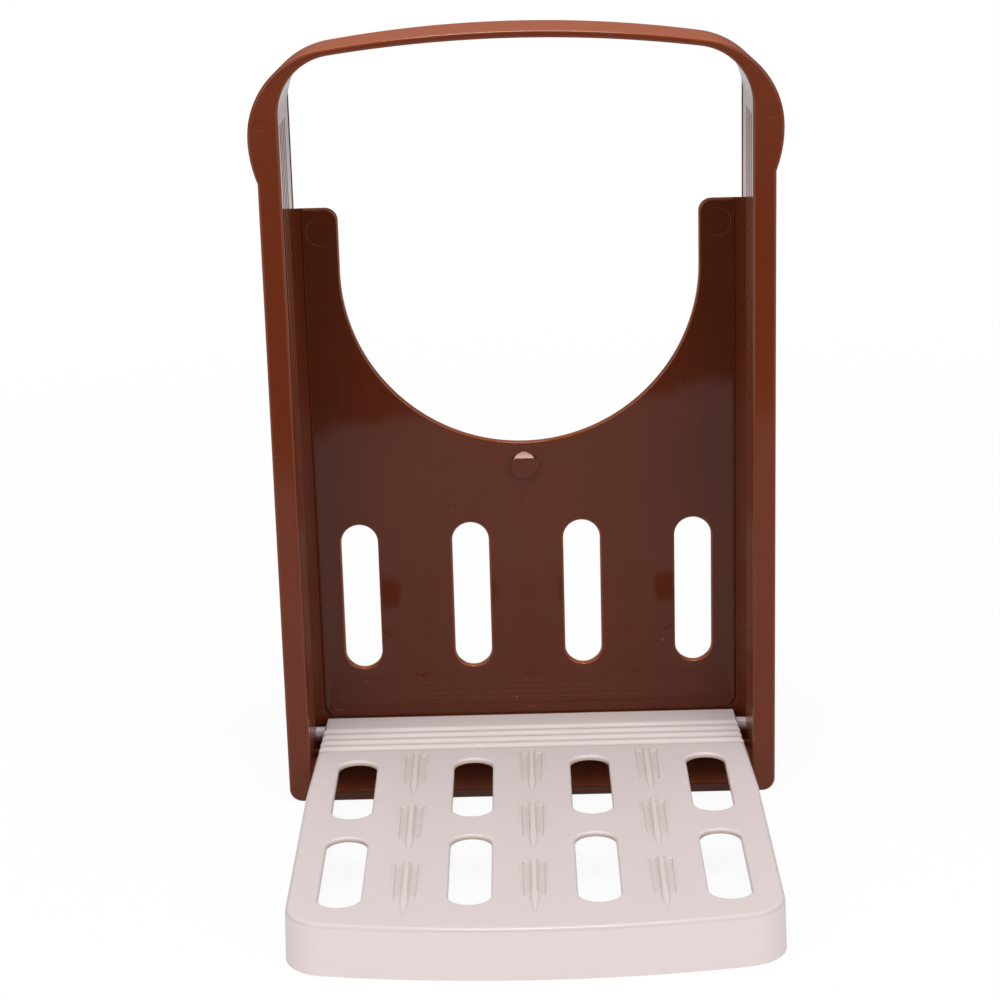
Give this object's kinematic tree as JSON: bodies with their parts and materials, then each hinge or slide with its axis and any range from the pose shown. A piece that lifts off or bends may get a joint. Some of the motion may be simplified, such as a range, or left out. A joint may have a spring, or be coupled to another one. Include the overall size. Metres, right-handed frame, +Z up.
{
  "type": "bread slicer guide",
  "caption": "Upright gate with knife slits in its side walls, a notched back plate and a slotted tray that folds up into the gate.",
  "frame": {"origin": "middle of the footprint with the tray folded down, on the surface that the guide stands on", "axes": "+X to the right seen from the tray, +Y from the tray to the back plate, +Z up"},
  "size_m": [0.1546, 0.1606, 0.2346],
  "materials": {
    "brown_plastic": "glossy reddish brown moulded plastic",
    "cream_plastic": "satin cream moulded plastic"
  },
  "bodies": {
    "gate": {"gate_frame": "brown_plastic", "back_plate": "brown_plastic"},
    "tray": {"tray": "cream_plastic"}
  },
  "joints": [
    {"name": "tray_fold", "type": "hinge", "parent": "gate", "child": "tray", "pos_m": [0, 0.07155, 0.0116], "axis": [-1, 0, 0], "range_deg": [0, 90]}
  ]
}
